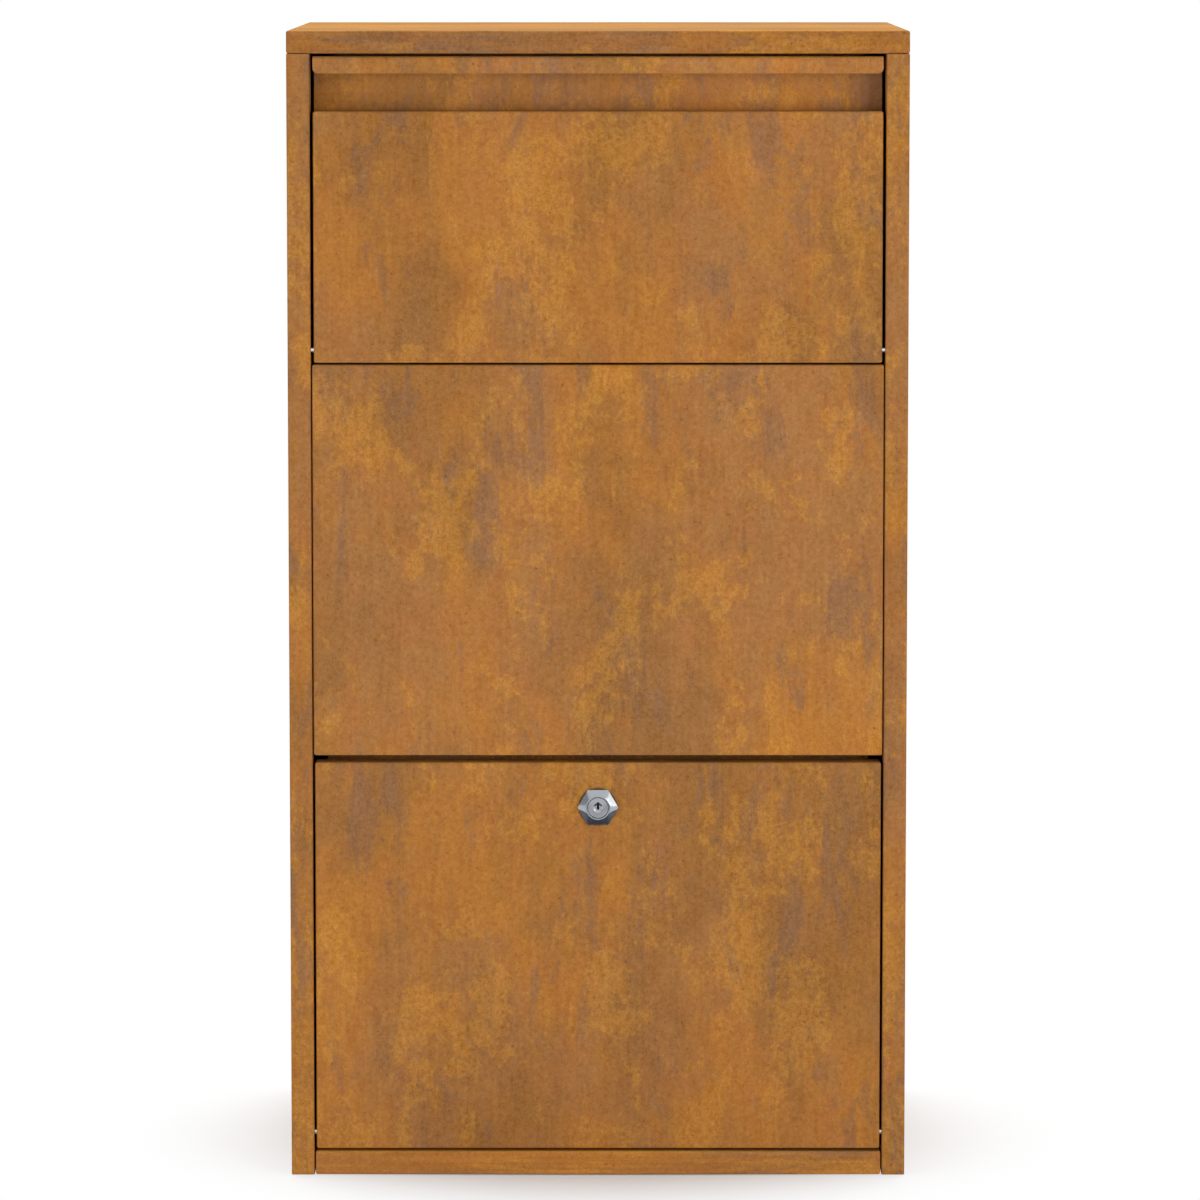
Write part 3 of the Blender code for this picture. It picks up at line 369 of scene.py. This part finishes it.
def metal_look(name, tint, roughness, wear=0.1, waves=0.0, painted_shade_from=None):
    """Bare or plated metal with faint dust and scratches.

    waves is the height of the waves in its surface, and the last argument is the depth along Y from which
    its keyway turns to painted shade.
    """
    look = Look(name, Metallic=1.0)
    dust = look.noise(look.place(), *DUST_NOISE)
    scratches = look.noise(look.place(SCRATCH_STRETCH), *SCRATCH_NOISE)
    dull = tuple(level * DUST_SHADE for level in tint[:3]) + (1.0,)
    base = look.blend(dust.between(*DUST_LEVELS) * wear, tint, dull)
    # Painted shade deep in the keyway, where the metal also stops shining
    if painted_shade_from is not None:
        painted_shade = look.along("Y").between(painted_shade_from, painted_shade_from + KEYWAY_SHADE_DEPTH) * near(look, *KEYWAY)
        base = look.blend(painted_shade, base, PAINTED_SHADE_COLOUR)
        look.set(Metallic=1.0 - painted_shade)
    if waves:
        ripples = look.noise(look.place(), WAVE_SCALE, detail=0.0)
        look.set(Normal=look.bump(ripples, strength=1.0, distance=waves))
    roughened = roughness + dust * DUST_ROUGHNESS + scratches * SCRATCH_ROUGHNESS
    look.set(Base_Color=base, Roughness=roughened)
    return look.material


# Sheets with their own cut of the rust: which way its streaks run, its tone, and how long the streaks are
SHEET_STREAKS = {
    "left_side_panel": ("z", 0.95, 1.0),
    "right_side_panel": ("z", 0.93, 1.0),
    "back_panel": ("z", 1.0, 1.0),
    "top_cap": ("x", 0.845, 1.4),
    "base_rail": ("x", 1.13, 4.0),
    "base_plate": ("x", 0.90, 1.0),
    "middle_panel": ("z", 1.0, 1.0),
    "hopper_flap": ("z", 0.965, 1.0),
    "door_panel": ("z", 0.99, 1.0),
}
# How far the rust moves on from one sheet to the next, and where it lies on the pieces that share a look
SHIFT_STEP = Vector((1.7, 0.9, 2.3))
INNER_SHIFT = (31.0, 7.0, 3.0)
RIVET_SHIFT = (3.0, 17.0, 5.0)
# A node has its own look, or else its slot's, or else it is one of the sheets above
NODE_LOOKS = {
    # The strike bar's rust is made much darker: painted shade for the gap in which it shows
    "strike_bar": rust_look("rust_strike_bar", INNER_SHIFT, streaks_along="x", tone=0.42),
}
SLOT_LOOKS = {
    "rusted_inner_sheet": rust_look("rust_inner", INNER_SHIFT, tone=0.78),
    "rusted_rivet": rust_look("rust_rivet", RIVET_SHIFT, tone=0.70),
    "bright_pin_steel": metal_look("bright_pin_steel", PIN_STEEL, roughness=0.25),
    "lock_chrome": metal_look("lock_chrome", LOCK_CHROME, roughness=0.14, waves=0.0007),
    "plug_nickel": metal_look(
        "plug_nickel", LOCK_NICKEL, roughness=0.16, waves=0.0005, painted_shade_from=LOCK_FACE + DISH_DEPTH
    ),
    "cam_steel": metal_look("cam_steel", CAM_STEEL, roughness=0.34, wear=0.4),
}


def dress(node, material):
    """Gives a CAD node a material in place of its own."""
    mesh = frame["nodes"][node].data
    mesh.materials.clear()
    mesh.materials.append(material)


def dress_nodes():
    """Gives every CAD node its look, and each rusted sheet its own cut of the rust."""
    sheets = 0
    for part in frame["record"]["subparts"]:
        node, slot = part["node"], part["material_slot"]
        shared = NODE_LOOKS.get(node, SLOT_LOOKS.get(slot))
        if shared:
            dress(node, shared)
            continue
        sheets += 1
        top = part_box(node)[1].z
        # The door gets a painted shadow round the lock's bezel, and the flap painted light in its pull
        # channel
        painted_shade = BEZEL_SHADOW if node == "door_panel" else None
        paints_channel_light = node == "hopper_flap"
        look = rust_look(f"rust_{node}", SHIFT_STEP * sheets, *SHEET_STREAKS[node], top, painted_shade, paints_channel_light)
        dress(node, look)


def round_edges(node, width):
    """Rounds a CAD node's sharp edges for the eye, once its facets are joined along them."""
    modifiers = frame["nodes"][node].modifiers
    weld = modifiers.new("facets_joined", "WELD")
    weld.merge_threshold = WELD_REACH
    bevel = modifiers.new("edge_rounding", "BEVEL")
    bevel.width = width
    bevel.segments = ROUNDING_SEGMENTS
    bevel.limit_method = "ANGLE"
    bevel.angle_limit = SHARP_ANGLE


def add_camera():
    """A camera opposite the front, tilted down where the photograph's is level and shifted."""
    data = bpy.data.cameras.new("camera")
    data.lens = CAMERA_LENS
    data.sensor_width = CAMERA_SENSOR
    data.sensor_fit = "HORIZONTAL"
    data.clip_end = CAMERA_FAR
    camera = bpy.data.objects.new("camera", data)
    bpy.context.scene.collection.objects.link(camera)
    camera.location = (CAMERA_X, CAD_FRONT - CAMERA_DISTANCE, CAMERA_Z)
    camera.rotation_euler = Euler((math.pi / 2 - CAMERA_PITCH, 0, CAMERA_YAW))
    bpy.context.scene.camera = camera


def add_lamp(name, watts, size, at, towards):
    """A rectangular lamp at one place, aimed towards another."""
    data = bpy.data.lights.new(name, "AREA")
    data.energy = watts
    data.shape = "RECTANGLE"
    data.size, data.size_y = size
    lamp = bpy.data.objects.new(name, data)
    bpy.context.scene.collection.objects.link(lamp)
    lamp.location = at
    lamp.rotation_euler = (Vector(towards) - Vector(at)).to_track_quat("-Z", "Y").to_euler()
    lamp.visible_glossy = name in REFLECTED_LAMPS
    lamp.visible_diffuse = name != GLINT_LAMP


def seen_directly(look):
    """1 for the rays of the camera, of reflections and of glass, and 0 for the rest."""
    kinds = ("Is Camera Ray", "Is Glossy Ray", "Is Transmission Ray")
    camera, glossy, glass = (look.node("ShaderNodeLightPath", output=kind) for kind in kinds)
    return camera.math("MAXIMUM", glossy).math("MAXIMUM", glass)


def add_world():
    """White to the camera, to metal and to glass, and a plain soft light to everything else."""
    world = bpy.data.worlds.new("world")
    bpy.context.scene.world = world
    world.use_nodes = True
    sky = Tree(world.node_tree)
    background = world.node_tree.nodes["Background"]
    background.inputs["Color"].default_value = WHITE
    strength = WORLD_LIGHT + seen_directly(sky) * (1.0 - WORLD_LIGHT)
    world.node_tree.links.new(strength.socket, background.inputs["Strength"])


def add_sheet(name, half_x, half_y, at, material):
    """A flat rectangle of the stage."""
    mesh = bpy.data.meshes.new(name)
    corners = [(x * half_x, y * half_y, 0) for x, y in ((-1, -1), (1, -1), (1, 1), (-1, 1))]
    mesh.from_pydata(corners, [], [range(4)])
    mesh.materials.append(material)
    sheet = bpy.data.objects.new(name, mesh)
    bpy.context.scene.collection.objects.link(sheet)
    sheet.location = at
    return sheet


def add_floor():
    """A plain pale floor that keeps the object's shadow and turns into the white background further off."""
    look = Look("floor", Roughness=0.9, Specular_IOR_Level=0.0, Base_Color=FLOOR_PALE)
    pale = Value(look, look.shader.outputs[0])
    white = look.node("ShaderNodeEmission", None, {"Color": WHITE, "Strength": 1.0})
    distance = look.node("ShaderNodeVectorMath", {"operation": "LENGTH"}, {0: look.place()}, "Value")
    far = distance.between(*FLOOR_SHADOW_REACH) * seen_directly(look)
    mixed = look.node("ShaderNodeMixShader", None, {0: far, 1: pale, 2: white})
    output = look.tree.nodes["Material Output"]
    look.tree.links.new(mixed.socket, output.inputs["Surface"])
    add_sheet("floor", FLOOR_HALF, FLOOR_HALF, (0, 0, CAD_BOX[0].z - FLOOR_DROP), look.material)


def hide_from_all_but_reflections(sheet):
    """Leaves a sheet of the stage to glossy rays alone."""
    for rays in ("camera", "diffuse", "transmission", "volume_scatter", "shadow"):
        setattr(sheet, f"visible_{rays}", False)


def add_card():
    """A grey card far to the left, seen only by reflections, so that the lock has a darker left side."""
    look = Look("card", Roughness=1.0, Specular_IOR_Level=0.0, Base_Color=CARD_GREY)
    card = add_sheet("card", CARD_SIZE / 2, CARD_SIZE / 2, CARD_PLACE, look.material)
    card.rotation_euler = (LOCK_MIDDLE - CARD_PLACE).to_track_quat("Z", "Y").to_euler()
    hide_from_all_but_reflections(card)


def add_mat():
    """A dark mat on the floor in front, seen only by reflections, so that the lock has a dark underside."""
    look = Look("mat", Roughness=1.0, Specular_IOR_Level=0.0, Base_Color=MAT_DARK)
    half_x, half_y = MAT_SIZE[0] / 2, MAT_SIZE[1] / 2
    mat = add_sheet("mat", half_x, half_y, (0, CAD_FRONT - MAT_GAP - half_y, MAT_RISE), look.material)
    hide_from_all_but_reflections(mat)


dress_nodes()
round_edges("lock_housing", LOCK_ROUNDING)
add_camera()
add_world()
add_floor()
add_mat()
add_card()
for name, lamp in LAMPS.items():
    add_lamp(name, *lamp)
bpy.context.scene.view_settings.view_transform = "Standard"
bpy.context.view_layer.update()
